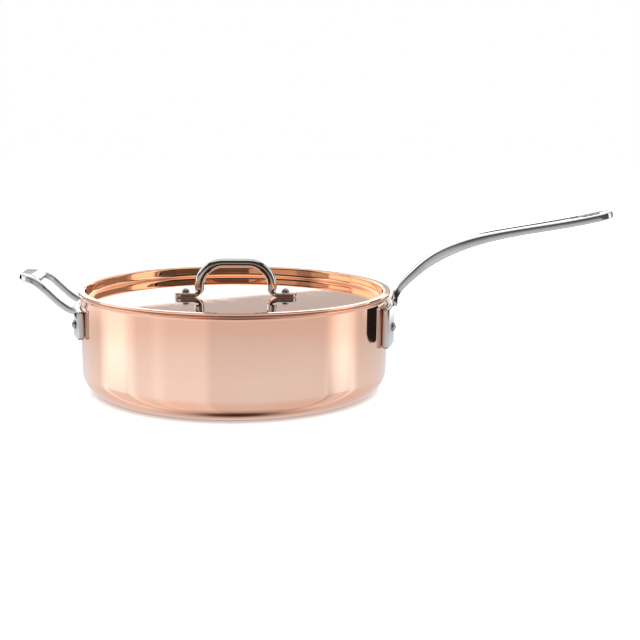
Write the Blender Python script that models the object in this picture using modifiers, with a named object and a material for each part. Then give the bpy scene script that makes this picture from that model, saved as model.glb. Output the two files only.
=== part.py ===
"""Copper saute pan with a long handle, a helper handle and a fitted lid.

Frame: metres, +Z up, origin on the pan's axis at the underside of its base.
The long handle points along +X and the helper handle along -X.
The pan and the lid are clad sheet: a copper shell outside and a steel lining inside.
"""
import math

import bmesh
import bpy
from mathutils import Matrix, Vector

# ---------------------------------------------------------------- driving dimensions, metres

GAP = 0.0003  # clearance between pieces that touch
SEGMENTS = 48  # facets round the pan and the lid

# Pan body
PAN_RADIUS = 0.1433  # outside of the straight wall
PAN_HEIGHT = 0.0922  # base to the top of the pouring lip
PAN_COPPER = 0.0012
PAN_LINING = 0.0008
BASE_CORNER = 0.0197  # outside radius between base and wall
LIP_OVERHANG = 0.0018  # outside of the pouring lip, past the wall
LIP_CURL = 0.003  # hollow radius under the lip
LIP_TURN = math.radians(45)  # how far the wall turns outwards at the lip

# Lid
LID_COPPER = 0.0010
LID_LINING = 0.0005
LID_OVERHANG = 0.0004  # outside of the flange, past the pouring lip
LID_FIT = 0.0008  # clearance between the lid's wall and the pan's wall
LID_DEPTH = 0.0100  # flange top down to the sunk plate
LID_PLATE_FILLET = 0.0035
LID_SHOULDER = 0.0024  # outside radius where the flange turns down

# Rivets, of one pattern
RIVET_SHANK = 0.0022  # radius
RIVET_HEAD = 0.0043  # radius
RIVET_DOME = 0.0027  # height of the outer head
LID_RIVET_HEAD = 0.0037  # the lid's rivets have narrower, taller heads
LID_RIVET_DOME = 0.0036
RIVET_TAIL = 0.0045  # radius of the inner head
RIVET_TAIL_DEPTH = 0.0014

# Curved plates that hold both handles on the pan's wall
PLATE_THICKNESS = 0.0066
PLATE_EDGE = 0.0016  # rounding of the plate's edges

# Long handle
LONG_PLATE_HALF = 0.062  # half width, along the wall
LONG_PLATE_DROP = 0.0092  # top of the pouring lip to the plate's top
LONG_PLATE_DEPTH = 0.037
LONG_RIVET_DROP = 0.0194  # plate's top to its rivets
LONG_RIVET_INSET = 0.0185  # plate's end to its rivet, along the wall
LONG_REACH = 0.2163  # wall to the tip
LONG_RISE = 0.0825  # plate's top to the middle of the tip
NECK_SINK = 0.005  # how deep the neck starts inside the plate
NECK_INSET = 0.0013  # plate's outer face to the middle of the neck
KNEE_REACH = 0.0218  # plate's outer face to the end of the neck's bend
KNEE_RISE = 0.0273  # plate's top to the end of the neck's bend
NECK_ANGLE = math.radians(85)
KNEE_ANGLE = math.radians(42)
TIP_ANGLE = math.radians(14.5)
NECK_HALF = 0.0085  # half width at the neck
GRIP_HALF = 0.0105  # half width along the grip
TIP_HALF = 0.0125  # half width at the rounded end
NECK_THICKNESS = 0.0060
KNEE_THICKNESS = 0.0084
GRIP_THICKNESS = 0.0096
TIP_THICKNESS = 0.0070
NECK_FLARE = 0.009  # fillet where the neck spreads into the plate
EYE_LENGTH = 0.030  # hanging eye, a tapered slot
EYE_END = 0.0052  # its radius next to the tip
EYE_START = 0.0026  # its radius next to the grip
EYE_MARGIN = 0.012  # metal between the eye and the tip

# Helper handle
HELPER_PLATE_HALF = 0.055
HELPER_PLATE_DROP = 0.0132
HELPER_PLATE_DEPTH = 0.0254
HELPER_RIVET_DROP = 0.0128
HELPER_RIVET_INSET = 0.0115
LOOP_REACH = 0.0535  # wall to the tip
LOOP_SINK = 0.0026  # plate's top down to the middle of an arm's root
LOOP_BITE = 0.0015  # how far inside the plate's inner face an arm starts
LOOP_BEND = 0.0375  # length of its S-bend
LOOP_RISE = 0.019  # height of its S-bend
LOOP_TILT = 0.22  # slope of its two ends
LOOP_SPREAD = 0.028  # middle plane to the middle of an arm
LOOP_ARM = 0.0082  # width of an arm
LOOP_BAR = 0.0185  # width of the bar across the tip
LOOP_THICKNESS = 0.0066
LOOP_CORNER = 0.015  # turn from arm to bar, at mid width

# Lid handle
ARCH_SPREAD = 0.0343  # middle plane to the middle of a leg
ARCH_HEIGHT = 0.037  # lid plate to the top of the arch
ARCH_ROD = 0.009  # diameter
ARCH_CORNER = 0.0225  # corner radius at mid rod
FOOT_WIDTH = 0.013
FOOT_THICKNESS = 0.0042
FOOT_BEND = 0.0052  # bend from foot to leg, at mid height
FOOT_RIVET = 0.0127  # middle of a leg to its rivet
FOOT_END = 0.0105  # rivet to the end of its foot

# ---------------------------------------------------------------- sizes that follow

PAN_WALL = PAN_COPPER + GAP + PAN_LINING
LIP_RADIUS = PAN_RADIUS + LIP_OVERHANG
LID_WALL = LID_COPPER + GAP + LID_LINING
LID_RADIUS = LIP_RADIUS + LID_OVERHANG
LID_REST = PAN_HEIGHT + GAP  # underside of the flange
LID_BORE = PAN_RADIUS - PAN_WALL - LID_FIT - LID_WALL  # inside of the lid's wall
LID_PLATE = LID_WALL - LID_DEPTH  # top of the sunk plate, above the lid's own origin
PLATE_INNER = PAN_RADIUS + GAP
PLATE_OUTER = PLATE_INNER + PLATE_THICKNESS
WALL_INSIDE = PAN_RADIUS - PAN_WALL
LONG_PLATE_HIGH = PAN_HEIGHT - LONG_PLATE_DROP
HELPER_PLATE_HIGH = PAN_HEIGHT - HELPER_PLATE_DROP
ARCH_RIVET = ARCH_SPREAD + FOOT_RIVET  # middle plane to a rivet
FOOT_REACH = ARCH_RIVET + FOOT_END  # middle plane to the end of a foot


# ---------------------------------------------------------------- scene and materials

def clear_scene():
    for item in list(bpy.data.objects):
        bpy.data.objects.remove(item, do_unlink=True)


def new_collection(name):
    collection = bpy.data.collections.new(name)
    bpy.context.scene.collection.children.link(collection)
    return collection


def new_material(name, colour, roughness):
    material = bpy.data.materials.new(name)
    material.use_nodes = True
    shader = material.node_tree.nodes["Principled BSDF"]
    shader.inputs["Base Color"].default_value = (*colour, 1.0)
    shader.inputs["Roughness"].default_value = roughness
    shader.inputs["Metallic"].default_value = 1.0
    material.diffuse_color = (*colour, 1.0)
    return material


def new_object(name, mesh, collection, material=None):
    item = bpy.data.objects.new(name, mesh)
    collection.objects.link(item)
    if material:
        mesh.materials.append(material)
    return item


def shade_round(mesh):
    mesh.shade_smooth()
    mesh.set_sharp_from_angle(angle=math.radians(35))


# ---------------------------------------------------------------- shapes

def arc(centre, radius, start, end, steps):
    """Points (radius, height) on a circle, from one angle to another."""
    angles = [start + (end - start) * step / steps for step in range(steps + 1)]
    return [(centre[0] + radius * math.cos(a), centre[1] + radius * math.sin(a)) for a in angles]


def turned(name, profile, collection, material, segments):
    """A solid of revolution about Z, from a profile that runs down its outer side."""
    mesh = bpy.data.meshes.new(name)
    points = [(radius, 0.0, height) for radius, height in profile]
    edges = [(index, index + 1) for index in range(len(points) - 1)]
    mesh.from_pydata(points, edges, [])
    item = new_object(name, mesh, collection, material)
    screw = item.modifiers.new("turn", "SCREW")
    screw.axis = "Z"
    screw.steps = segments
    screw.render_steps = segments
    screw.use_merge_vertices = True
    screw.merge_threshold = 0.00001
    screw.use_smooth_shade = True
    return item


def loft(name, rings, collection, material=None):
    """A closed solid through rings of the same number of points, capped at both ends."""
    mesh = bpy.data.meshes.new(name)
    build = bmesh.new()
    loops = [[build.verts.new(point) for point in ring] for ring in rings]
    count = len(rings[0])
    for first, second in zip(loops, loops[1:]):
        for index in range(count):
            following = (index + 1) % count
            build.faces.new((first[index], first[following], second[following], second[index]))
    build.faces.new(list(reversed(loops[0])))
    build.faces.new(loops[-1])
    bmesh.ops.recalc_face_normals(build, faces=build.faces)
    build.to_mesh(mesh)
    build.free()
    shade_round(mesh)
    return new_object(name, mesh, collection, material)


def section(centre, across, up, width, height, squareness, count=16):
    """A ring between an ellipse (squareness 2) and a rectangle (a large squareness)."""
    ring = []
    for index in range(count):
        angle = math.tau * (index + 0.5) / count
        side = math.copysign(abs(math.cos(angle)) ** (2.0 / squareness), math.cos(angle))
        rise = math.copysign(abs(math.sin(angle)) ** (2.0 / squareness), math.sin(angle))
        ring.append(centre + across * (side * width / 2) + up * (rise * height / 2))
    return ring


def bezier(points, share):
    """Place and direction on a cubic Bezier curve in the XZ plane."""
    a, b, c, d = (Vector((x, 0.0, z)) for x, z in points)
    rest = 1.0 - share
    place = a * rest**3 + b * (3 * rest**2 * share) + c * (3 * rest * share**2) + d * share**3
    slope = (b - a) * rest**2 + (c - b) * (2 * rest * share) + (d - c) * share**2
    return place, slope.normalized()


def smoothstep(value):
    value = min(max(value, 0.0), 1.0)
    return value * value * (3.0 - 2.0 * value)


def mix(first, second, share):
    return first + (second - first) * share


# ---------------------------------------------------------------- Booleans

def as_tool(item):
    item.hide_render = True
    item.display_type = "WIRE"
    return item


def combine(item, tool, operation):
    modifier = item.modifiers.new(operation.lower(), "BOOLEAN")
    modifier.operation = operation
    modifier.solver = "EXACT"
    modifier.object = tool
    return modifier


def bore_tool(name, place, direction, radius, depth, collection):
    """A cylinder that drills a hole of this radius, centred at a place."""
    mesh = bpy.data.meshes.new(name)
    build = bmesh.new()
    bmesh.ops.create_cone(build, cap_ends=True, segments=12, radius1=radius, radius2=radius, depth=depth)
    build.to_mesh(mesh)
    build.free()
    tool = as_tool(new_object(name, mesh, collection))
    tool.location = place
    tool.rotation_mode = "QUATERNION"
    tool.rotation_quaternion = direction.to_track_quat("Z", "Y")
    return tool


# ---------------------------------------------------------------- pan and lid

def pan_skin(depth):
    """The pan's outline from axis to lip, at a depth below its outside skin."""
    lip_run = (LIP_RADIUS - PAN_RADIUS - LIP_CURL * (1 - math.cos(LIP_TURN))) / math.sin(LIP_TURN)
    top_curl = LIP_CURL + PAN_WALL
    curl_height = PAN_HEIGHT - top_curl * math.sin(LIP_TURN) - lip_run * math.cos(LIP_TURN)
    corner = (PAN_RADIUS - BASE_CORNER, BASE_CORNER)
    curl = (PAN_RADIUS + LIP_CURL, curl_height)
    points = [(0.0, depth)]
    points += arc(corner, BASE_CORNER - depth, -math.pi / 2, 0.0, 5)
    points += arc(curl, LIP_CURL + depth, math.pi, math.pi - LIP_TURN, 4)
    end = points[-1]
    points.append((end[0] + lip_run * math.sin(LIP_TURN), end[1] + lip_run * math.cos(LIP_TURN)))
    return points


def lid_skin(depth):
    """The lid's outline from axis to flange, at a depth below its top skin."""
    fillet = (LID_BORE - LID_PLATE_FILLET, LID_PLATE + LID_PLATE_FILLET)
    shoulder = (LID_BORE + LID_SHOULDER, LID_WALL - LID_SHOULDER)
    points = [(0.0, LID_PLATE - depth)]
    points += arc(fillet, LID_PLATE_FILLET + depth, -math.pi / 2, 0.0, 3)
    points += arc(shoulder, LID_SHOULDER - depth, math.pi, math.pi / 2, 4)
    points.append((LID_RADIUS, LID_WALL - depth))
    return points


def make_pan(parts, copper, steel):
    inside = pan_skin(PAN_COPPER)
    shell = turned("pan_copper_shell", inside + pan_skin(0.0)[::-1], parts, copper, SEGMENTS)
    inside = pan_skin(PAN_WALL)
    outside = pan_skin(PAN_COPPER + GAP)[::-1]
    lining = turned("pan_steel_lining", inside + outside, parts, steel, SEGMENTS)
    return shell, lining


def make_lid(parts, copper, steel):
    shell = turned("lid_copper_shell", lid_skin(0.0) + lid_skin(LID_COPPER)[::-1], parts, copper, SEGMENTS)
    top = lid_skin(LID_COPPER + GAP)
    lining = turned("lid_steel_lining", top + lid_skin(LID_WALL)[::-1], parts, steel, SEGMENTS)
    return shell, lining


# ---------------------------------------------------------------- rivets

def rivet_profile(grip, head, height):
    """Domed head above the origin, shank of the length it grips, low inner head below."""
    ball = (head**2 + height**2) / (2 * height)
    rim = math.asin((ball - height) / ball)
    dome = arc((0.0, height - ball), ball, math.pi / 2, rim, 4)
    tail = [(RIVET_SHANK, -grip), (RIVET_TAIL, -grip)]
    tail += [(RIVET_TAIL * 0.8, -grip - RIVET_TAIL_DEPTH), (0.0, -grip - RIVET_TAIL_DEPTH)]
    return dome + [(RIVET_SHANK, 0.0)] + tail


def make_rivet(name, place, direction, profile, parts, steel):
    rivet = turned(name, profile, parts, steel, 12)
    rivet.location = place
    rivet.rotation_mode = "QUATERNION"
    rivet.rotation_quaternion = direction.to_track_quat("Z", "Y")
    return rivet


def rivet_handle(name, side, spread, height, pieces, parts, cutters, steel):
    """Two rivets through a handle's plate and the pan's wall, with their holes."""
    for suffix, end in (("near", -1), ("far", 1)):
        angle = end * spread / PLATE_OUTER
        direction = Vector((side * math.cos(angle), math.sin(angle), 0.0))
        place = direction * (PLATE_OUTER + GAP) + Vector((0.0, 0.0, height))
        facet_dip = WALL_INSIDE * (1 - math.cos(math.pi / SEGMENTS))
        grip = PLATE_OUTER + GAP - (WALL_INSIDE - facet_dip - GAP)
        profile = rivet_profile(grip, RIVET_HEAD, RIVET_DOME)
        make_rivet(f"{name}_rivet_{suffix}", place, direction, profile, parts, steel)
        middle = direction * ((PLATE_OUTER + WALL_INSIDE) / 2) + Vector((0.0, 0.0, height))
        depth = (PLATE_OUTER - WALL_INSIDE) * 2
        tool = bore_tool(f"{name}_bore_{suffix}", middle, direction, RIVET_SHANK + GAP, depth, cutters)
        for piece in pieces:
            combine(piece, tool, "DIFFERENCE")


# ---------------------------------------------------------------- handles on the pan

def plate(name, side, half_width, low, high, collection, material=None):
    """A plate with rounded edges that follows the pan's wall."""
    half_angle = half_width / PLATE_OUTER
    steps = 14
    rings = []
    for step in range(steps + 1):
        angle = half_angle * (2.0 * step / steps - 1.0)
        outward = Vector((side * math.cos(angle), math.sin(angle), 0.0))
        corners = ((PLATE_INNER, low), (PLATE_OUTER, low), (PLATE_OUTER, high), (PLATE_INNER, high))
        rings.append([outward * radius + Vector((0.0, 0.0, height)) for radius, height in corners])
    item = loft(name, rings, collection, material)
    bevel = item.modifiers.new("edges", "BEVEL")
    bevel.width = PLATE_EDGE
    bevel.segments = 2
    bevel.limit_method = "ANGLE"
    bevel.angle_limit = math.radians(60)
    return item


def sweep(start, start_angle, start_pull, end, end_angle, end_pull):
    """Control points of a curve that leaves and arrives at an angle; pulls are shares of its chord."""
    chord = math.dist(start, end)
    leave = (start[0] + start_pull * chord * math.cos(start_angle),
             start[1] + start_pull * chord * math.sin(start_angle))
    arrive = (end[0] - end_pull * chord * math.cos(end_angle),
              end[1] - end_pull * chord * math.sin(end_angle))
    return start, leave, arrive, end


def long_handle_path():
    """Two Bezier curves in the XZ plane: the neck, and the grip up to the tip."""
    root = (PLATE_OUTER - NECK_INSET, LONG_PLATE_HIGH - NECK_SINK)
    knee = (PLATE_OUTER + KNEE_REACH, LONG_PLATE_HIGH + KNEE_RISE)
    tip = (PAN_RADIUS + LONG_REACH, LONG_PLATE_HIGH + LONG_RISE)
    neck = sweep(root, NECK_ANGLE, 0.33, knee, KNEE_ANGLE, 0.34)
    grip = sweep(knee, KNEE_ANGLE, 0.30, tip, TIP_ANGLE, 0.43)
    return neck, grip


def long_handle_stations():
    """Place, direction, half width and thickness from the neck's root to the tip."""
    neck, grip = long_handle_path()
    stations = []
    for step in range(9):
        share = step / 8
        place, slope = bezier(neck, share)
        climb = min(max(place.z - LONG_PLATE_HIGH, 0.0), NECK_FLARE)
        flare = NECK_FLARE - math.sqrt(NECK_FLARE**2 - (NECK_FLARE - climb) ** 2)
        half = NECK_HALF + flare
        stations.append((place, slope, half, mix(NECK_THICKNESS, KNEE_THICKNESS, share)))
    length = sum((bezier(grip, (i + 1) / 40)[0] - bezier(grip, i / 40)[0]).length for i in range(40))
    round_start = 1.0 - TIP_HALF / length
    for step in range(1, 19):
        share = round_start * step / 18
        place, slope = bezier(grip, share)
        half = mix(NECK_HALF, GRIP_HALF, smoothstep(share / 0.3))
        half = mix(half, TIP_HALF, smoothstep((share - 0.55) / 0.35))
        thick = mix(KNEE_THICKNESS, GRIP_THICKNESS, smoothstep(share / 0.16))
        thick = mix(thick, TIP_THICKNESS, smoothstep((share - 0.16) / 0.5))
        stations.append((place, slope, half, thick))
    for step in range(1, 6):
        turn = math.radians(16 * step)
        place, slope = bezier(grip, mix(round_start, 1.0, math.sin(turn)))
        stations.append((place, slope, TIP_HALF * math.cos(turn), TIP_THICKNESS))
    return stations


def eye_tool(collection):
    """A tapered slot through the handle, near its tip."""
    place, slope = bezier(long_handle_path()[1], 0.88)
    tip = Vector((PAN_RADIUS + LONG_REACH, 0.0, LONG_PLATE_HIGH + LONG_RISE))
    middle = tip - slope * (EYE_MARGIN + EYE_LENGTH / 2)
    middle.z = place.z + (middle.x - place.x) * slope.z / slope.x
    mesh = bpy.data.meshes.new("eye_cutter")
    build = bmesh.new()
    for radius, shift in ((EYE_START, EYE_START - EYE_LENGTH / 2), (EYE_END, EYE_LENGTH / 2 - EYE_END)):
        bmesh.ops.create_cone(
            build, cap_ends=True, segments=16, radius1=radius, radius2=radius, depth=0.04,
            matrix=Matrix.Translation((shift, 0.0, 0.0)))
    bmesh.ops.delete(build, geom=build.edges[:], context="EDGES_FACES")
    bmesh.ops.convex_hull(build, input=build.verts)
    build.to_mesh(mesh)
    build.free()
    tool = as_tool(new_object("eye_cutter", mesh, collection))
    tool.location = middle
    tool.rotation_euler = (0.0, -math.atan2(slope.z, slope.x), 0.0)
    return tool


def make_long_handle(parts, cutters, steel):
    rings = []
    for place, slope, half, thick in long_handle_stations():
        up = Vector((-slope.z, 0.0, slope.x))
        rings.append(section(place, Vector((0.0, 1.0, 0.0)), up, 2 * half, thick, 6.0))
    handle = loft("long_handle", rings, parts, steel)
    low = LONG_PLATE_HIGH - LONG_PLATE_DEPTH
    foot = plate("long_handle_plate", 1, LONG_PLATE_HALF, low, LONG_PLATE_HIGH, cutters)
    combine(handle, as_tool(foot), "UNION")
    combine(handle, eye_tool(cutters), "DIFFERENCE")
    return handle


def loop_rise(reach):
    """Height of the helper loop's mid surface, and its slope, at a distance from the axis."""
    root = math.sqrt(PLATE_OUTER**2 - LOOP_SPREAD**2)
    share = min(max((reach - root) / LOOP_BEND, 0.0), 1.0)
    height = HELPER_PLATE_HIGH - LOOP_SINK + LOOP_TILT * (reach - root) + LOOP_RISE * smoothstep(share)
    return height, LOOP_TILT + LOOP_RISE * 6.0 * share * (1.0 - share) / LOOP_BEND


def loop_point(reach, across, lift):
    """A point above or below the helper loop's mid surface."""
    height, slope = loop_rise(reach)
    scale = lift / math.hypot(1.0, slope)
    return Vector((-(reach - slope * scale), across, height + scale))


def loop_path():
    """Middle of the loop's band in plan: along one arm, round the tip, back along the other."""
    bar = PAN_RADIUS + LOOP_REACH - LOOP_BAR / 2
    start = math.sqrt(PLATE_INNER**2 - (LOOP_SPREAD - LOOP_ARM / 2) ** 2) + LOOP_BITE
    bend = bar - LOOP_CORNER
    arm = [(mix(start, bend, step / 10), -LOOP_SPREAD) for step in range(10)]
    turn = arc((bend, LOOP_CORNER - LOOP_SPREAD), LOOP_CORNER, -math.pi / 2, 0.0, 6)
    half = arm + turn
    return half + [(reach, -across) for reach, across in reversed(half)]


def loop_width(reach, across):
    """Width of the loop's band, wider where it runs across the tip."""
    share = smoothstep((LOOP_SPREAD - abs(across)) / LOOP_CORNER)
    return mix(LOOP_ARM, LOOP_BAR, share)


def loop_ring(path, index):
    before = Vector(path[max(index - 1, 0)])
    after = Vector(path[min(index + 1, len(path) - 1)])
    along = (after - before).normalized()
    aside = Vector((-along.y, along.x))
    centre = Vector(path[index])
    half = loop_width(*path[index]) / 2
    flat = section(Vector((0, 0, 0)), Vector((1, 0, 0)), Vector((0, 1, 0)), 2 * half, LOOP_THICKNESS, 3.2, 12)
    places = [(centre + aside * point.x, point.y) for point in flat]
    return [loop_point(place.x, place.y, lift) for place, lift in places]


def make_helper_handle(parts, cutters, steel):
    path = loop_path()
    rings = [loop_ring(path, index) for index in range(len(path))]
    handle = loft("helper_handle", rings, parts, steel)
    low = HELPER_PLATE_HIGH - HELPER_PLATE_DEPTH
    foot = plate("helper_handle_plate", -1, HELPER_PLATE_HALF, low, HELPER_PLATE_HIGH, cutters)
    combine(handle, as_tool(foot), "UNION")
    return handle


# ---------------------------------------------------------------- lid handle

def arch_path():
    """Half of the lid handle's middle line, from the end of a foot to mid arch, in XZ."""
    foot = LID_PLATE + GAP + FOOT_THICKNESS / 2
    top = LID_PLATE + ARCH_HEIGHT - ARCH_ROD / 2
    rounding = FOOT_WIDTH / 2
    path = []
    for turn in (80, 64, 48, 32, 16):
        path.append((FOOT_REACH - rounding * (1 - math.sin(math.radians(turn))), foot))
    path.append((FOOT_REACH - rounding, foot))
    path.append((ARCH_RIVET, foot))
    path += arc((ARCH_SPREAD + FOOT_BEND, foot + FOOT_BEND), FOOT_BEND, -math.pi / 2, -math.pi, 4)
    path += arc((ARCH_SPREAD - ARCH_CORNER, top - ARCH_CORNER), ARCH_CORNER, 0.0, math.pi / 2, 7)
    path.append((0.0, top))
    return path


def arch_size(reach, height):
    """Width, thickness and squareness of the lid handle's section at a point of its path."""
    foot = LID_PLATE + GAP + FOOT_THICKNESS / 2
    share = smoothstep((height - foot) / FOOT_BEND)
    width = mix(FOOT_WIDTH, ARCH_ROD, share)
    thick = mix(FOOT_THICKNESS, ARCH_ROD, share)
    from_end = FOOT_REACH - reach
    rounding = FOOT_WIDTH / 2
    if from_end < rounding:
        width = 2 * math.sqrt(max(rounding**2 - (rounding - from_end) ** 2, 0.0))
    return width, thick, mix(6.0, 2.0, share)


def make_lid_handle(parts, cutters, steel, frame, pieces):
    half = arch_path()
    path = half + [(-reach, height) for reach, height in reversed(half[:-1])]
    rings = []
    for index, (reach, height) in enumerate(path):
        before = path[max(index - 1, 0)]
        after = path[min(index + 1, len(path) - 1)]
        along = Vector((after[0] - before[0], 0.0, after[1] - before[1])).normalized()
        up = Vector((along.z, 0.0, -along.x))
        width, thick, squareness = arch_size(abs(reach), height)
        centre = Vector((reach, 0.0, height))
        rings.append(section(centre, Vector((0.0, 1.0, 0.0)), up, width, thick, squareness, 12))
    handle = loft("lid_handle", rings, parts, steel)
    profile = rivet_profile(FOOT_THICKNESS + LID_WALL + 3 * GAP, LID_RIVET_HEAD, LID_RIVET_DOME)
    up = Vector((0.0, 0.0, 1.0))
    for suffix, side in (("left", -1), ("right", 1)):
        place = Vector((side * ARCH_RIVET, 0.0, LID_PLATE + FOOT_THICKNESS + 2 * GAP))
        rivet = make_rivet(f"lid_handle_rivet_{suffix}", place, up, profile, parts, steel)
        rivet.parent = frame
        tool = bore_tool(f"lid_bore_{suffix}", place, up, RIVET_SHANK + GAP, 0.03, cutters)
        tool.parent = frame
        for piece in [handle] + list(pieces):
            combine(piece, tool, "DIFFERENCE")
    return handle


# ---------------------------------------------------------------- assembly

def build():
    clear_scene()
    parts = new_collection("copper_saute_pan")
    cutters = new_collection("cutters")
    copper = new_material("polished_copper", (0.86, 0.52, 0.38), 0.10)
    steel = new_material("polished_steel", (0.72, 0.72, 0.72), 0.14)
    brushed = new_material("brushed_steel", (0.62, 0.62, 0.61), 0.32)

    pan = make_pan(parts, copper, brushed)
    long_handle = make_long_handle(parts, cutters, steel)
    helper = make_helper_handle(parts, cutters, steel)
    spread = LONG_PLATE_HALF - LONG_RIVET_INSET
    height = LONG_PLATE_HIGH - LONG_RIVET_DROP
    rivet_handle("long_handle", 1, spread, height, (*pan, long_handle), parts, cutters, steel)
    spread = HELPER_PLATE_HALF - HELPER_RIVET_INSET
    height = HELPER_PLATE_HIGH - HELPER_RIVET_DROP
    rivet_handle("helper_handle", -1, spread, height, (*pan, helper), parts, cutters, steel)

    lid_frame = bpy.data.objects.new("lid_frame", None)
    parts.objects.link(lid_frame)
    lid_frame.location = (0.0, 0.0, LID_REST)
    lid = make_lid(parts, copper, brushed)
    lid_handle = make_lid_handle(parts, cutters, steel, lid_frame, lid)
    for piece in (*lid, lid_handle):
        piece.parent = lid_frame


build()
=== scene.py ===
"""Looks of a copper saute pan with lid: fine meshes, metals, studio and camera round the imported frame.

Row frame: metres, +Z up, origin on the pan's axis under its base, long handle along +X.
"""
import math

import bmesh
import bpy
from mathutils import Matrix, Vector


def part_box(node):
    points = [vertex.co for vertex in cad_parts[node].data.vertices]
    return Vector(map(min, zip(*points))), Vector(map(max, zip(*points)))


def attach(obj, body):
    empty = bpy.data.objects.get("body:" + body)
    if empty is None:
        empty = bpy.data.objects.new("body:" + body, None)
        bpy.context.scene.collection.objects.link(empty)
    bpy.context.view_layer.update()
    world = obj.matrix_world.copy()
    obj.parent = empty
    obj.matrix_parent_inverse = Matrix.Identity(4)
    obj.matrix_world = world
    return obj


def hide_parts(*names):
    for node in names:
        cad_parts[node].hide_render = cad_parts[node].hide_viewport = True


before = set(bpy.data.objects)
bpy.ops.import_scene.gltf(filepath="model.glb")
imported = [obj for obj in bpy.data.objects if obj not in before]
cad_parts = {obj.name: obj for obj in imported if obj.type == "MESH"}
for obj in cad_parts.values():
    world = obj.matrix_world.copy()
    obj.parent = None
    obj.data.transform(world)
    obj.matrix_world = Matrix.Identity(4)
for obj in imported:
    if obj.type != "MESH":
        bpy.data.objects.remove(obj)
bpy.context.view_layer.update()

# ---------------------------------------------------------------- places, read from the frame

LIP_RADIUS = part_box("pan_copper_shell")[1].x
PAN_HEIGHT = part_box("pan_steel_lining")[1].z
LID_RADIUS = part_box("lid_copper_shell")[1].x
LID_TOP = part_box("lid_copper_shell")[1].z
LONG_PLATE_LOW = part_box("long_handle")[0].z
LOOP_TIP = -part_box("helper_handle")[0].x
HELPER_PLATE_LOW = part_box("helper_handle")[0].z
ARCH_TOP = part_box("lid_handle")[1].z
FOOT_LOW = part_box("lid_handle")[0].z
FOOT_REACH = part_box("lid_handle")[1].x

# ---------------------------------------------------------------- sizes, metres

GAP = 0.0003
SEGMENTS = 240

PAN_RADIUS = LIP_RADIUS - 0.0018
PAN_COPPER = 0.0012
PAN_LINING = 0.0008
PAN_WALL = PAN_COPPER + GAP + PAN_LINING
BASE_CORNER = 0.0197
LIP_CURL = 0.003
LIP_TURN = math.radians(45)
SHEET_EDGE = 0.0004  # rounding of a cut sheet edge

LID_COPPER = 0.0010
LID_LINING = 0.0005
LID_WALL = LID_COPPER + GAP + LID_LINING
LID_DEPTH = 0.0100
LID_BORE = PAN_RADIUS - PAN_WALL - 0.0008 - LID_WALL
LID_PLATE = LID_TOP - LID_DEPTH
LID_PLATE_FILLET = 0.0035
LID_SHOULDER = 0.0024
FLANGE_TILT = math.radians(1.25)  # the flange rises a little towards its edge

PLATE_INNER = PAN_RADIUS + GAP
PLATE_THICKNESS = 0.0066
PLATE_OUTER = PLATE_INNER + PLATE_THICKNESS
PLATE_EDGE = 0.0016
LONG_PLATE_HALF = 0.062
LONG_PLATE_HIGH = LONG_PLATE_LOW + 0.037
HELPER_PLATE_HALF = 0.055
HELPER_PLATE_HIGH = HELPER_PLATE_LOW + 0.0254
LONG_RIVET_DROP = 0.0194
HELPER_RIVET_DROP = 0.0128
RIVET_SPREAD = 0.0435  # middle plane to a rivet, along the wall

LONG_REACH = 0.2163
NECK_SINK = 0.005
NECK_INSET = 0.0013
KNEE_REACH = 0.0218
KNEE_RISE = 0.0273
LONG_RISE = 0.0825
NECK_ANGLE = math.radians(85)
KNEE_ANGLE = math.radians(42)
TIP_ANGLE = math.radians(14.5)
NECK_HALF = 0.0085
GRIP_HALF = 0.0105
TIP_HALF = 0.0125
NECK_THICKNESS = 0.0060
KNEE_THICKNESS = 0.0084
GRIP_THICKNESS = 0.0096
TIP_THICKNESS = 0.0070
NECK_FLARE = 0.009
HANDLE_EDGE = 0.0012  # rounding along the long handle's edges
HANDLE_CROWN = 0.0003  # how far its top and underside swell
EYE_LENGTH = 0.030
EYE_END = 0.0052
EYE_START = 0.0026
EYE_MARGIN = 0.012

LOOP_REACH = LOOP_TIP - PAN_RADIUS
LOOP_SINK = 0.0026
LOOP_BITE = 0.0015
LOOP_BEND = 0.0375
LOOP_RISE = 0.019
LOOP_TILT = 0.22
LOOP_SPREAD = 0.028
LOOP_ARM = 0.0082
LOOP_BAR = 0.0185
LOOP_THICKNESS = 0.0066
LOOP_CORNER = 0.015
LOOP_EDGE = 0.0014

ARCH_ROD = 0.009
ARCH_CORNER = 0.0225
FOOT_WIDTH = 0.013
FOOT_THICKNESS = 0.0042
FOOT_BEND = 0.0052
FOOT_END = 0.0105
FOOT_RIVET = 0.0127
ARCH_RIVET = FOOT_REACH - FOOT_END
ARCH_SPREAD = ARCH_RIVET - FOOT_RIVET

RIVET_SHANK = 0.0022
RIVET_HEAD = 0.0043
RIVET_DOME = 0.0027
LID_RIVET_HEAD = 0.0037
LID_RIVET_DOME = 0.0036
RIVET_TAIL = 0.0045
RIVET_TAIL_DEPTH = 0.0014


# ---------------------------------------------------------------- curves and sections

def smoothstep(value):
    value = min(max(value, 0.0), 1.0)
    return value * value * (3.0 - 2.0 * value)


def mix(first, second, share):
    return first + (second - first) * share


def arc(centre, radius, start, end, steps):
    angles = [start + (end - start) * step / steps for step in range(steps + 1)]
    return [(centre[0] + radius * math.cos(a), centre[1] + radius * math.sin(a)) for a in angles]


def sweep(start, start_angle, start_pull, end, end_angle, end_pull):
    chord = math.dist(start, end)
    leave = (start[0] + start_pull * chord * math.cos(start_angle),
             start[1] + start_pull * chord * math.sin(start_angle))
    arrive = (end[0] - end_pull * chord * math.cos(end_angle),
              end[1] - end_pull * chord * math.sin(end_angle))
    return start, leave, arrive, end


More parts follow.
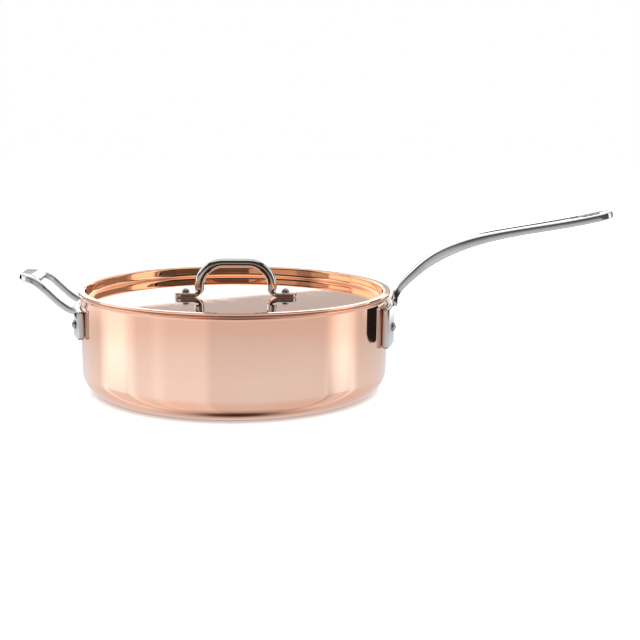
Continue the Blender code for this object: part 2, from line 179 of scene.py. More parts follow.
def bezier(points, share):
    """Place and direction on a cubic Bezier curve in the XZ plane."""
    a, b, c, d = (Vector((x, 0.0, z)) for x, z in points)
    rest = 1.0 - share
    place = a * rest**3 + b * (3 * rest**2 * share) + c * (3 * rest * share**2) + d * share**3
    slope = (b - a) * rest**2 + (c - b) * (2 * rest * share) + (d - c) * share**2
    return place, slope.normalized()


def rounded_section(width, thickness, edge, crown=0.0, corner_steps=6, face_steps=6):
    """Points (side, lift) round a bar with rounded edges and faintly swollen wide faces."""
    edge = min(edge, width * 0.49, thickness * 0.49)
    flat = width / 2 - edge
    points = []
    for sign in (1, -1):
        for step in range(face_steps + 1):
            share = step / face_steps
            side = sign * mix(-flat, flat, share)
            lift = thickness / 2 - crown * (2 * share - 1.0) ** 2
            points.append((-side, -sign * lift))
        turn = arc((0.0, 0.0), edge, 0.0, math.pi / 2, corner_steps)
        low, high = -(thickness / 2 - crown - edge), thickness / 2 - crown - edge
        corner = [(-flat - down, low - across) for across, down in turn]
        corner += [(-flat - across, high + down) for across, down in turn]
        points += [(sign * side, sign * lift) for side, lift in corner[1:-1]]
    return points


# ---------------------------------------------------------------- meshes

def add(name, mesh):
    item = bpy.data.objects.new(name, mesh)
    bpy.context.scene.collection.objects.link(item)
    return item


def mesh_from(name, build, sharp):
    mesh = bpy.data.meshes.new(name)
    bmesh.ops.recalc_face_normals(build, faces=build.faces)
    build.to_mesh(mesh)
    build.free()
    mesh.shade_smooth()
    mesh.set_sharp_from_angle(angle=math.radians(sharp))
    return mesh


def supported(profile, margin=0.0002):
    """Adds a point close to both ends of each long stretch, which keeps its shading straight."""
    points = [profile[0]]
    for first, second in zip(profile, profile[1:]):
        length = math.dist(first, second)
        if length > 6 * margin:
            for share in (margin / length, 1 - margin / length):
                points.append((mix(first[0], second[0], share), mix(first[1], second[1], share)))
        points.append(second)
    return points


def turned(name, profile, segments=SEGMENTS, sharp=40):
    """A solid of revolution; the profile starts and ends on the axis or closes on itself."""
    build = bmesh.new()
    rings = []
    for radius, height in supported(profile):
        if radius < 1e-6:
            rings.append([build.verts.new((0.0, 0.0, height))])
            continue
        turns = [math.tau * index / segments for index in range(segments)]
        rings.append([build.verts.new((radius * math.cos(t), radius * math.sin(t), height)) for t in turns])
    for first, second in zip(rings, rings[1:]):
        for index in range(segments):
            following = (index + 1) % segments
            if len(first) == 1 and len(second) > 1:
                build.faces.new((first[0], second[index], second[following]))
            elif len(second) == 1 and len(first) > 1:
                build.faces.new((first[index], first[following], second[0]))
            elif len(first) > 1:
                build.faces.new((first[index], first[following], second[following], second[index]))
    return add(name, mesh_from(name, build, sharp))


def loft(name, rings, sharp=40):
    """A closed solid through rings of the same number of points."""
    build = bmesh.new()
    loops = [[build.verts.new(point) for point in ring] for ring in rings]
    count = len(rings[0])
    for first, second in zip(loops, loops[1:]):
        for index in range(count):
            following = (index + 1) % count
            build.faces.new((first[index], first[following], second[following], second[index]))
    build.faces.new(list(reversed(loops[0])))
    build.faces.new(loops[-1])
    return add(name, mesh_from(name, build, sharp))


def combined(item, tool, operation):
    """Joins or cuts a piece with a tool, and removes the tool."""
    modifier = item.modifiers.new(operation.lower(), "BOOLEAN")
    modifier.operation = operation
    modifier.solver = "EXACT"
    modifier.object = tool
    depsgraph = bpy.context.evaluated_depsgraph_get()
    mesh = bpy.data.meshes.new_from_object(item.evaluated_get(depsgraph))
    item.modifiers.clear()
    item.data = mesh
    bpy.data.objects.remove(tool, do_unlink=True)
    return item


def bevelled(item, width, segments, angle):
    """Rounds the edges that are sharper than an angle."""
    modifier = item.modifiers.new("edges", "BEVEL")
    modifier.width = width
    modifier.segments = segments
    modifier.limit_method = "ANGLE"
    modifier.angle_limit = math.radians(angle)
    modifier.use_clamp_overlap = True
    depsgraph = bpy.context.evaluated_depsgraph_get()
    mesh = bpy.data.meshes.new_from_object(item.evaluated_get(depsgraph))
    item.modifiers.clear()
    item.data = mesh
    return item


# ---------------------------------------------------------------- pan and lid

def pan_skin(depth):
    """The pan's outline from axis to lip, at a depth below its outside skin."""
    lip_run = (LIP_RADIUS - PAN_RADIUS - LIP_CURL * (1 - math.cos(LIP_TURN))) / math.sin(LIP_TURN)
    top_curl = LIP_CURL + PAN_WALL
    curl_height = PAN_HEIGHT - top_curl * math.sin(LIP_TURN) - lip_run * math.cos(LIP_TURN)
    corner = (PAN_RADIUS - BASE_CORNER, BASE_CORNER)
    curl = (PAN_RADIUS + LIP_CURL, curl_height)
    points = [(0.0, depth), (PAN_RADIUS * 0.5, depth)]
    points += arc(corner, BASE_CORNER - depth, -math.pi / 2, 0.0, 28)
    points.append((PAN_RADIUS - depth, PAN_HEIGHT * 0.5))
    points += arc(curl, LIP_CURL + depth, math.pi, math.pi - LIP_TURN, 14)
    end = points[-1]
    points.append((end[0] + lip_run * math.sin(LIP_TURN), end[1] + lip_run * math.cos(LIP_TURN)))
    return points


def lid_skin(depth):
    """The lid's outline from axis to flange, at a depth below its top skin."""
    fillet = (LID_BORE - LID_PLATE_FILLET, LID_PLATE + LID_PLATE_FILLET)
    rise = (LID_RADIUS - LID_BORE - LID_SHOULDER) * math.tan(FLANGE_TILT)
    shoulder = (LID_BORE + LID_SHOULDER, LID_TOP - LID_SHOULDER - rise)
    points = [(0.0, LID_PLATE - depth), (LID_BORE * 0.5, LID_PLATE - depth)]
    points += arc(fillet, LID_PLATE_FILLET + depth, -math.pi / 2, 0.0, 12)
    points += arc(shoulder, LID_SHOULDER - depth, math.pi, math.pi / 2 + FLANGE_TILT, 14)
    points.append((LID_RADIUS, LID_TOP - depth))
    return points


def sheet(first, second, edge):
    """A closed outline between two skins, with the cut edge between them rounded."""
    (x1, z1), (x2, z2) = first[-1], second[-1]
    (px, pz) = first[-2]
    along = Vector((x1 - px, z1 - pz)).normalized()
    across = Vector((x2 - x1, z2 - z1))
    thickness = across.length
    across = across.normalized()
    edge = min(edge, thickness / 2 - 0.00001)
    base = Vector((x1, z1)) - along * edge
    rounded = []
    for step in range(7):
        turn = math.pi / 2 * step / 6
        rounded.append(base + along * (edge * math.sin(turn)) + across * (edge * (1 - math.cos(turn))))
    for step in range(7):
        turn = math.pi / 2 * (1 - step / 6)
        depth = thickness - edge * (1 - math.cos(turn))
        rounded.append(base + along * (edge * math.sin(turn)) + across * depth)
    return first[:-1] + [(p.x, p.y) for p in rounded] + second[:-1][::-1]


def make_pan():
    """The copper is turned over the steel's edge at the lip."""
    inner = pan_skin(PAN_COPPER)[:-1] + pan_skin(PAN_WALL)[-1:]
    shell = turned("pan_body", sheet(pan_skin(0.0), inner, SHEET_EDGE))
    lining = turned("pan_inside", sheet(pan_skin(PAN_COPPER + GAP)[:-1], pan_skin(PAN_WALL)[:-1], 0.0002))
    return shell, lining


def make_lid():
    """The copper is turned over the steel's edge under the flange."""
    edge = LID_RADIUS - 0.0010
    under = lid_skin(LID_COPPER)[:-1] + [(edge, LID_TOP - LID_COPPER), (edge, LID_TOP - LID_WALL)]
    under.append((LID_RADIUS, LID_TOP - LID_WALL))
    shell = turned("lid_top", sheet(lid_skin(0.0), under, SHEET_EDGE))
    upper = lid_skin(LID_COPPER + GAP)[:-1] + [(edge - GAP, LID_TOP - LID_COPPER - GAP)]
    lower = lid_skin(LID_WALL)[:-1] + [(edge - GAP, LID_TOP - LID_WALL)]
    lining = turned("lid_underside", sheet(upper, lower, 0.0002))
    return shell, lining


# ---------------------------------------------------------------- rivets

def rivet_profile(grip, head, height):
    ball = (head**2 + height**2) / (2 * height)
    rim = math.asin((ball - height) / ball)
    dome = arc((0.0, height - ball), ball, math.pi / 2, rim, 14)
    seat = [(head, 0.0), (RIVET_SHANK, 0.0), (RIVET_SHANK, -grip), (RIVET_TAIL, -grip)]
    tail = arc((RIVET_TAIL - 0.0009, -grip - RIVET_TAIL_DEPTH + 0.0009), 0.0009, 0.0, -math.pi / 2, 5)
    return dome[:-1] + seat + tail + [(0.0, -grip - RIVET_TAIL_DEPTH)]


def make_rivet(node, place, direction, profile, body, metal):
    rivet = turned(node.replace("rivet", "stud"), profile, 40, 50)
    rivet.rotation_mode = "QUATERNION"
    rivet.rotation_quaternion = direction.to_track_quat("Z", "Y")
    rivet.location = place
    finish(rivet, body, metal, "rivet_steel", node)


def make_wall_rivets(handle, side, height, metal):
    """The two rivets of a handle, standing square to the pan's wall."""
    wall_inside = PAN_RADIUS - PAN_WALL
    for suffix, end in (("near", -1), ("far", 1)):
        angle = end * RIVET_SPREAD / PLATE_OUTER
        direction = Vector((side * math.cos(angle), math.sin(angle), 0.0))
        place = direction * (PLATE_OUTER + GAP) + Vector((0.0, 0.0, height))
        profile = rivet_profile(PLATE_OUTER + GAP - (wall_inside - GAP), RIVET_HEAD, RIVET_DOME)
        make_rivet(f"{handle}_rivet_{suffix}", place, direction, profile, "pan", metal)


# ---------------------------------------------------------------- handles on the pan

def plate(name, side, half_width, low, high):
    """A plate with rounded edges that follows the pan's wall."""
    half_angle = half_width / PLATE_OUTER
    middle = (PLATE_INNER + PLATE_OUTER) / 2
    steps = 72
    rings = []
    for step in range(steps + 1):
        share = 2.0 * step / steps - 1.0
        from_end = (1.0 - abs(share)) * half_width
        inset = 0.0
        if from_end < PLATE_EDGE:
            inset = PLATE_EDGE - math.sqrt(PLATE_EDGE**2 - (PLATE_EDGE - from_end) ** 2)
        angle = half_angle * share
        outward = Vector((side * math.cos(angle), math.sin(angle), 0.0))
        size = (PLATE_THICKNESS - 2 * inset, high - low - 2 * inset)
        outline = rounded_section(*size, max(PLATE_EDGE - inset, 0.0002))
        rings.append([outward * (middle + s) + Vector((0.0, 0.0, (low + high) / 2 + h)) for s, h in outline])
    return loft(name, rings)


def long_handle_path():
    root = (PLATE_OUTER - NECK_INSET, LONG_PLATE_HIGH - NECK_SINK)
    knee = (PLATE_OUTER + KNEE_REACH, LONG_PLATE_HIGH + KNEE_RISE)
    tip = (PAN_RADIUS + LONG_REACH, LONG_PLATE_HIGH + LONG_RISE)
    neck = sweep(root, NECK_ANGLE, 0.33, knee, KNEE_ANGLE, 0.34)
    grip = sweep(knee, KNEE_ANGLE, 0.30, tip, TIP_ANGLE, 0.43)
    return neck, grip


def long_handle_stations():
    """Place, direction, half width and thickness from the neck's root to the tip."""
    neck, grip = long_handle_path()
    stations = []
    for step in range(28):
        share = step / 27
        place, slope = bezier(neck, share)
        climb = min(max(place.z - LONG_PLATE_HIGH, 0.0), NECK_FLARE)
        flare = NECK_FLARE - math.sqrt(NECK_FLARE**2 - (NECK_FLARE - climb) ** 2)
        stations.append((place, slope, NECK_HALF + flare, mix(NECK_THICKNESS, KNEE_THICKNESS, share)))
    length = sum((bezier(grip, (i + 1) / 40)[0] - bezier(grip, i / 40)[0]).length for i in range(40))
    round_start = 1.0 - TIP_HALF / length
    for step in range(1, 81):
        share = round_start * step / 80
        place, slope = bezier(grip, share)
        half = mix(NECK_HALF, GRIP_HALF, smoothstep(share / 0.3))
        half = mix(half, TIP_HALF, smoothstep((share - 0.55) / 0.35))
        thick = mix(KNEE_THICKNESS, GRIP_THICKNESS, smoothstep(share / 0.16))
        thick = mix(thick, TIP_THICKNESS, smoothstep((share - 0.16) / 0.5))
        stations.append((place, slope, half, thick))
    for step in range(1, 19):
        turn = math.radians(88) * step / 18
        place, slope = bezier(grip, mix(round_start, 1.0, math.sin(turn)))
        from_tip = TIP_HALF * (1 - math.sin(turn))
        inset = 0.0
        if from_tip < HANDLE_EDGE:
            inset = HANDLE_EDGE - math.sqrt(HANDLE_EDGE**2 - (HANDLE_EDGE - from_tip) ** 2)
        stations.append((place, slope, TIP_HALF * math.cos(turn), TIP_THICKNESS - 2 * inset))
    return stations


def eye_tool():
    """A tapered slot through the handle, near its tip."""
    place, slope = bezier(long_handle_path()[1], 0.88)
    tip = Vector((PAN_RADIUS + LONG_REACH, 0.0, LONG_PLATE_HIGH + LONG_RISE))
    middle = tip - slope * (EYE_MARGIN + EYE_LENGTH / 2)
    middle.z = place.z + (middle.x - place.x) * slope.z / slope.x
    wide = EYE_LENGTH / 2 - EYE_END
    narrow = EYE_START - EYE_LENGTH / 2
    lean = math.asin((EYE_END - EYE_START) / (wide - narrow))
    outline = arc((wide, 0.0), EYE_END, -math.pi / 2 - lean, math.pi / 2 + lean, 20)
    outline += arc((narrow, 0.0), EYE_START, math.pi / 2 + lean, 3 * math.pi / 2 - lean, 12)
    rings = [[(x, y, lift) for x, y in outline] for lift in (-0.02, 0.02)]
    tool = loft("eye_tool", rings)
    tool.location = middle
    tool.rotation_euler = (0.0, -math.atan2(slope.z, slope.x), 0.0)
    return tool


def make_long_handle():
    rings = []
    for place, slope, half, thick in long_handle_stations():
        up = Vector((-slope.z, 0.0, slope.x))
        outline = rounded_section(2 * half, thick, HANDLE_EDGE, HANDLE_CROWN)
        rings.append([place + Vector((0.0, side, 0.0)) + up * lift for side, lift in outline])
    handle = loft("handle_long", rings)
    combined(handle, eye_tool(), "DIFFERENCE")
    bevelled(handle, 0.0006, 3, 60)
    foot = plate("foot", 1, LONG_PLATE_HALF, LONG_PLATE_LOW, LONG_PLATE_HIGH)
    return combined(handle, foot, "UNION")


def loop_rise(reach):
    root = math.sqrt(PLATE_OUTER**2 - LOOP_SPREAD**2)
    share = min(max((reach - root) / LOOP_BEND, 0.0), 1.0)
    height = HELPER_PLATE_HIGH - LOOP_SINK + LOOP_TILT * (reach - root) + LOOP_RISE * smoothstep(share)
    return height, LOOP_TILT + LOOP_RISE * 6.0 * share * (1.0 - share) / LOOP_BEND


def loop_point(reach, across, lift):
    height, slope = loop_rise(reach)
    scale = lift / math.hypot(1.0, slope)
    return Vector((-(reach - slope * scale), across, height + scale))


def loop_path():
    bar = PAN_RADIUS + LOOP_REACH - LOOP_BAR / 2
    start = math.sqrt(PLATE_INNER**2 - (LOOP_SPREAD - LOOP_ARM / 2) ** 2) + LOOP_BITE
    bend = bar - LOOP_CORNER
    arm = [(mix(start, bend, step / 40), -LOOP_SPREAD) for step in range(40)]
    turn = arc((bend, LOOP_CORNER - LOOP_SPREAD), LOOP_CORNER, -math.pi / 2, 0.0, 24)
    across = [(bar, mix(LOOP_CORNER - LOOP_SPREAD, 0.0, step / 8)) for step in range(1, 8)]
    half = arm + turn + across
    return half + [(bar, 0.0)] + [(reach, -side) for reach, side in reversed(half)]


def loop_ring(path, index):
    before = Vector(path[max(index - 1, 0)])
    after = Vector(path[min(index + 1, len(path) - 1)])
    along = (after - before).normalized()
    aside = Vector((-along.y, along.x))
    centre = Vector(path[index])
    share = smoothstep((LOOP_SPREAD - abs(path[index][1])) / LOOP_CORNER)
    outline = rounded_section(mix(LOOP_ARM, LOOP_BAR, share), LOOP_THICKNESS, LOOP_EDGE, 0.0003)
    places = [(centre + aside * side, lift) for side, lift in outline]
    return [loop_point(place.x, place.y, lift) for place, lift in places]


def make_helper_handle():
    path = loop_path()
    handle = loft("handle_loop", [loop_ring(path, index) for index in range(len(path))])
    foot = plate("foot", -1, HELPER_PLATE_HALF, HELPER_PLATE_LOW, HELPER_PLATE_HIGH)
    return combined(handle, foot, "UNION")


# ---------------------------------------------------------------- lid handle

def arch_path():
    """Half of the lid handle's middle line, from the end of a foot to mid arch, in XZ."""
    foot = FOOT_LOW + FOOT_THICKNESS / 2
    top = ARCH_TOP - ARCH_ROD / 2
    rounding = FOOT_WIDTH / 2
    path = []
    for step in range(14):
        turn = math.radians(88) * (1 - step / 14)
        path.append((FOOT_REACH - rounding * (1 - math.sin(turn)), foot))
    path.append((FOOT_REACH - rounding, foot))
    path += [(mix(FOOT_REACH - rounding, ARCH_SPREAD + FOOT_BEND, step / 6), foot) for step in range(1, 6)]
    path += arc((ARCH_SPREAD + FOOT_BEND, foot + FOOT_BEND), FOOT_BEND, -math.pi / 2, -math.pi, 14)
    path += arc((ARCH_SPREAD - ARCH_CORNER, top - ARCH_CORNER), ARCH_CORNER, 0.0, math.pi / 2, 28)
    path.append((0.0, top))
    return path


def arch_section(reach, height):
    """Outline of the rod, or of the flattened foot, at a point of its path."""
    foot = FOOT_LOW + FOOT_THICKNESS / 2
    share = smoothstep((height - foot) / FOOT_BEND)
    width = mix(FOOT_WIDTH, ARCH_ROD, share)
    thick = mix(FOOT_THICKNESS, ARCH_ROD, share)
    edge = mix(0.0009, ARCH_ROD / 2, share)
    from_end = FOOT_REACH - reach
    rounding = FOOT_WIDTH / 2
    if from_end < rounding:
        width = 2 * math.sqrt(max(rounding**2 - (rounding - from_end) ** 2, 0.0))
    if from_end < edge:
        thick -= 2 * (edge - math.sqrt(edge**2 - (edge - from_end) ** 2))
    return rounded_section(width, thick, edge, 0.0, 9, 4)


def make_lid_handle():
    half = arch_path()
    path = half + [(-reach, height) for reach, height in reversed(half[:-1])]
    rings = []
    for index, (reach, height) in enumerate(path):
        before = path[max(index - 1, 0)]
        after = path[min(index + 1, len(path) - 1)]
        along = Vector((after[0] - before[0], 0.0, after[1] - before[1])).normalized()
        up = Vector((along.z, 0.0, -along.x))
        centre = Vector((reach, 0.0, height))
        outline = arch_section(abs(reach), height)
        rings.append([centre + Vector((0.0, side, 0.0)) + up * lift for side, lift in outline])
    return loft("handle_arch", rings)


# ---------------------------------------------------------------- node trees

class Tree:
    """Short names for adding and joining shader nodes."""

    def __init__(self, tree):
        self.nodes = tree.nodes
        self.links = tree.links

    def add(self, kind, **settings):
        node = self.nodes.new(kind)
        for name, value in settings.items():
            setattr(node, name, value)
        return node

    def feed(self, socket, value):
        if isinstance(value, bpy.types.NodeSocket):
            self.links.new(value, socket)
        else:
            socket.default_value = value

    def math(self, operation, *values):
        node = self.add("ShaderNodeMath", operation=operation)
        for socket, value in zip(node.inputs, values):
            self.feed(socket, value)
        return node.outputs[0]

    def ramp(self, share, stops):
        """A colour ramp through (position, colour or grey) stops."""
        node = self.add("ShaderNodeValToRGB")
        elements = node.color_ramp.elements
        while len(elements) < len(stops):
            elements.new(1.0)
        for element, (position, value) in zip(elements, stops):
            element.position = position
            colour = value if isinstance(value, tuple) else (value, value, value)
            element.color = (*colour, 1.0)
        self.feed(node.inputs["Fac"], share)
        return node.outputs["Color"]

    def blend(self, share, first, second):
        node = self.add("ShaderNodeMix", data_type="RGBA")
        self.feed(node.inputs["Factor"], share)
        self.feed(node.inputs["A"], first)
        self.feed(node.inputs["B"], second)
        return node.outputs["Result"]

    def scaled(self, colour, gain):
        node = self.add("ShaderNodeVectorMath", operation="SCALE")
        self.feed(node.inputs[0], colour)
        self.feed(node.inputs["Scale"], gain)
        return node.outputs[0]

    def span(self, value, low, high, start=0.0, end=1.0):
        """Maps a value from one range to another, smoothly and clamped."""
        node = self.add("ShaderNodeMapRange", interpolation_type="SMOOTHSTEP")
        for name, number in (("Value", value), ("From Min", low), ("From Max", high),
                             ("To Min", start), ("To Max", end)):
            self.feed(node.inputs[name], number)
        return node.outputs["Result"]

    def noise(self, vector, scale, detail=3.0, roughness=0.5):
        node = self.add("ShaderNodeTexNoise")
        self.feed(node.inputs["Vector"], vector)
        node.inputs["Scale"].default_value = scale
        node.inputs["Detail"].default_value = detail
        node.inputs["Roughness"].default_value = roughness
        return node.outputs["Fac"]

    def stretched(self, vector, scale):
        node = self.add("ShaderNodeMapping")
        self.feed(node.inputs["Vector"], vector)
        node.inputs["Scale"].default_value = scale
        return node.outputs["Vector"]


def new_metal(name):
    material = bpy.data.materials.new(name)
    material.use_nodes = True
    tree = Tree(material.node_tree)
    shader = tree.nodes["Principled BSDF"]
    shader.inputs["Metallic"].default_value = 1.0
    return material, tree, shader


def ring_space(tree):
    """Coordinates that run round the pan's axis, so that a pattern in them follows the spun rings."""
    place = tree.add("ShaderNodeTexCoord").outputs["Object"]
    split = tree.add("ShaderNodeSeparateXYZ")
    tree.feed(split.inputs[0], place)
    x, y, z = split.outputs
    radius = tree.math("SQRT", tree.math("ADD", tree.math("MULTIPLY", x, x), tree.math("MULTIPLY", y, y)))
    join = tree.add("ShaderNodeCombineXYZ")
    tree.feed(join.inputs[0], radius)
    tree.feed(join.inputs[1], z)
    return place, join.outputs[0], radius, z


def bump(tree, shader, height, distance, strength=1.0):
    node = tree.add("ShaderNodeBump")
    node.inputs["Strength"].default_value = strength
    node.inputs["Distance"].default_value = distance
    tree.feed(node.inputs["Height"], height)
    tree.feed(shader.inputs["Normal"], node.outputs["Normal"])


def copper_metal():
    """Mirror-polished copper: warm and cool patches, spun rings, faint wipe marks.

    The lid's recessed wall is given a deeper, redder colour than the rest: a painted reflection of copper in
    copper.
    """
    material, tree, shader = new_metal("polished_copper")
    place, rings, radius, height = ring_space(tree)
    patches = tree.noise(place, 14.0, 2.0)
    open_tint = tree.ramp(patches, ((0.3, (0.922, 0.550, 0.402)), (0.7, (0.938, 0.580, 0.428))))
    # painted reflection: the copper turns deeper and redder on the lid's recessed wall, above its plate, set
    # by place alone
    recess_reflection_mask = tree.math("MULTIPLY", tree.span(radius, LID_BORE - 0.004, LID_BORE - 0.0005),
                     tree.span(radius, LID_BORE + 0.0005, LID_BORE + 0.0018, 1.0, 0.0))
    recess_reflection_mask = tree.math("MULTIPLY", recess_reflection_mask, tree.span(height, LID_PLATE - 0.0002, LID_PLATE + 0.0004))
    tint = tree.blend(recess_reflection_mask, open_tint, (0.95, 0.50, 0.28, 1.0))
    tree.feed(shader.inputs["Base Color"], tint)
    wipes = tree.noise(tree.stretched(place, (60.0, 60.0, 22.0)), 1.0, 4.0, 0.6)
    spun = tree.noise(rings, 2600.0, 1.0)
    rough = tree.math("ADD", tree.span(wipes, 0.35, 0.75, 0.012, 0.04), tree.span(spun, 0.3, 0.7, 0.0, 0.008))
    tree.feed(shader.inputs["Roughness"], rough)
    bump(tree, shader, spun, 0.0000002)
    return material


def lining_metal():
    """Satin stainless lining, brushed in rings."""
    material, tree, shader = new_metal("brushed_steel")
    place, rings = ring_space(tree)[:2]
    spun = tree.noise(rings, 2200.0, 2.0)
    patches = tree.noise(place, 18.0, 3.0)
    tint = tree.ramp(patches, ((0.3, (0.600, 0.592, 0.580)), (0.7, (0.665, 0.660, 0.650))))
    tree.feed(shader.inputs["Base Color"], tint)
    rough = tree.math("ADD", tree.span(patches, 0.3, 0.7, 0.20, 0.27), tree.span(spun, 0.3, 0.7, 0.0, 0.08))
    tree.feed(shader.inputs["Roughness"], rough)
    bump(tree, shader, spun, 0.000006)
    return material


def steel_metal():
    """Cast stainless polished to a mirror: faint waves from polishing, hairlines along the bar."""
    material, tree, shader = new_metal("polished_steel")
    place = tree.add("ShaderNodeTexCoord").outputs["Object"]
    patches = tree.noise(place, 40.0, 2.0)
    tint = tree.ramp(patches, ((0.3, (0.590, 0.584, 0.576)), (0.7, (0.640, 0.636, 0.630))))
    tree.feed(shader.inputs["Base Color"], tint)
    hairs = tree.noise(tree.stretched(place, (90.0, 1400.0, 1400.0)), 1.0, 2.0)
    rough = tree.math("ADD", tree.span(patches, 0.3, 0.7, 0.02, 0.05), tree.span(hairs, 0.4, 0.7, 0.0, 0.02))
    tree.feed(shader.inputs["Roughness"], rough)
    waves = tree.noise(place, 70.0, 1.0)
    bump(tree, shader, waves, 0.00003)
    return material


def rivet_metal():
    """Rivets set with a hammer and wiped over: duller than the handles, finely pitted."""
    material, tree, shader = new_metal("rivet_steel")
    place = tree.add("ShaderNodeTexCoord").outputs["Object"]
    grain = tree.noise(place, 900.0, 3.0)
    tint = tree.ramp(grain, ((0.3, (0.36, 0.355, 0.35)), (0.7, (0.47, 0.465, 0.46))))
    tree.feed(shader.inputs["Base Color"], tint)
    tree.feed(shader.inputs["Roughness"], tree.span(grain, 0.3, 0.7, 0.24, 0.38))
    bump(tree, shader, grain, 0.00004)
    return material


# ---------------------------------------------------------------- studio

# Directions are in degrees: azimuth 0 faces the front of the pan and grows towards its long handle,
# elevation is above the horizon. Levels are half of the light they stand for, as a ramp stops at 1.
WORLD_STRENGTH = 2.0
BACKDROP = 0.5  # the white that the camera sees round the pan
EDGE = 0.8  # softness of a card's sides
BLACK = 0.008

TABLE_LEVEL = 0.36
TABLE_GAIN = 1.5
TABLE_LIGHTS = (  # left, right, softness, light added to the table's
    (-111.5, -82.5, 17.0, 0.35),  # left soft box
    (-150.0, -114.0, 24.0, 0.04),  # its glow to the left
    (-81.0, -20.0, 8.0, 0.068),  # its spill to the right
    (-62.0, -53.0, 9.0, 0.04),  # a strip in that spill
    (75.0, 96.0, 18.0, 0.30))  # right soft box
TABLE_FALL = (  # elevation, colour: dark straight down, cooler near the horizon
    (-90, 0.02), (-80, (0.10, 0.06, 0.05)), (-70, (0.45, 0.41, 0.40)), (-55, (0.70, 0.68, 0.68)),
    (-35, (0.72, 0.70, 0.71)), (-20, (0.74, 0.78, 0.81)), (-14, (0.76, 0.86, 0.94)),
    (-12.5, (0.71, 0.79, 0.85)), (-11, (0.67, 0.645, 0.64)))
BOX_SIDES = ((-108.0, -84.0), (71.0, 94.0))
BOX_SOFT = 4.0
BOX_TOP = 50.0
BOX_LEVEL = 0.8
BOX_LOSS = 0.4  # share of a box's light that is lost low on the table

ROOM_LEVEL = 0.3
ROOM_SHADES = (  # left, right, softness, level
    (-66.0, -52.0, 4.0, 0.175),
    (-11.0, 67.5, 2.5, 0.06),  # dark behind the camera
    (98.0, 180.0, 4.0, 0.2))
ROOM_TOP = 14.0
CEILING_LEVEL = 0.02
OVERHEAD = 60.0
OVERHEAD_LEVEL = 0.55

BACK_WALL = ((-90, 0.5), (-3, 0.8), (16, 0.85), (30, 0.45), (70, 0.45), (90, 0.5))
BACK_STRIP = (9.35, 11.5, 0.12)  # bottom, top, softness of a grey strip on the back wall
BACK_STRIP_TILT = 5.2
BACK_STRIP_LEVEL = 0.29

CARDS = (  # left, right, bottom, top, level
    (100.0, 150.0, 4.0, 20.0, 0.17),
    (-112.0, -84.0, 9.0, 24.0, 0.13),
    (-165.0, -111.0, -9.5, 5.0, BLACK),
    (154.0, 170.0, -4.0, 10.6, BLACK))
FLAG_SIDES = (113.0, 132.0)
FLAG_TOP = 4.0
FLAG_FOOT = -11.75
FLAG_ROUNDING = 0.45


def grey(level):
    return (level, level, level, 1.0)


def by_elevation(stops):
    return [((angle + 90.0) / 180.0, value) for angle, value in stops]


def band(tree, angle, low, high, soft):
    """1 between two angles, 0 outside them, with soft ends."""
    start = tree.span(angle, low - soft / 2, low + soft / 2)
    return tree.math("MULTIPLY", start, tree.span(angle, high - soft / 2, high + soft / 2, 1.0, 0.0))


def table_light(tree, azimuth, elevation, climb, box):
    """The lit table, seen below the horizon."""
    level = TABLE_LEVEL
    for left, right, soft, extra in TABLE_LIGHTS:
        light = tree.math("MULTIPLY", band(tree, azimuth, left, right, soft), extra)
        level = tree.math("ADD", light, level)
    loss = tree.math("MULTIPLY", box, tree.span(elevation, -16.5, -11.5, BOX_LOSS, 0.0))
    level = tree.math("MULTIPLY", level, tree.math("SUBTRACT", 1.0, loss))
    level = tree.math("MULTIPLY", level, TABLE_GAIN)
    return tree.scaled(tree.ramp(climb, by_elevation(TABLE_FALL)), level)


def front_room(tree, azimuth, elevation, box):
    """The room behind and beside the camera, with the soft boxes and an overhead panel."""
    room = grey(ROOM_LEVEL)
    for left, right, soft, level in ROOM_SHADES:
        room = tree.blend(band(tree, azimuth, left, right, soft), room, grey(level))
    room = tree.blend(tree.span(elevation, ROOM_TOP - 1, ROOM_TOP + 1), room, grey(CEILING_LEVEL))
    room = tree.blend(tree.span(elevation, OVERHEAD - 3, OVERHEAD + 3), room, grey(OVERHEAD_LEVEL))
    lit = tree.math("MULTIPLY", box, tree.span(elevation, BOX_TOP - 2, BOX_TOP + 2, 1.0, 0.0))
    return tree.blend(lit, room, grey(BOX_LEVEL))


def back_room(tree, x, elevation, climb):
    """The white wall behind the pan, with a grey strip that rises to the left."""
    tilted = tree.math("ADD", elevation, tree.math("MULTIPLY", x, BACK_STRIP_TILT))
    wall = tree.ramp(climb, by_elevation(BACK_WALL))
    return tree.blend(band(tree, tilted, *BACK_STRIP), wall, grey(BACK_STRIP_LEVEL))


def flag(tree, azimuth, elevation):
    """A black flag with a rounded foot, behind the long handle's plate."""
    left, right = FLAG_SIDES
    offset = tree.math("SUBTRACT", azimuth, (left + right) / 2)
    off_middle = tree.math("POWER", tree.math("DIVIDE", offset, (right - left) / 2), 4.0)
    foot = tree.math("ADD", tree.math("MULTIPLY", off_middle, FLAG_ROUNDING), FLAG_FOOT)
    column = tree.math("MULTIPLY", band(tree, azimuth, left, right, EDGE),
                       tree.span(elevation, FLAG_TOP - 0.15, FLAG_TOP + 0.15, 1.0, 0.0))
    return tree.math("MULTIPLY", column, tree.math("GREATER_THAN", elevation, foot))


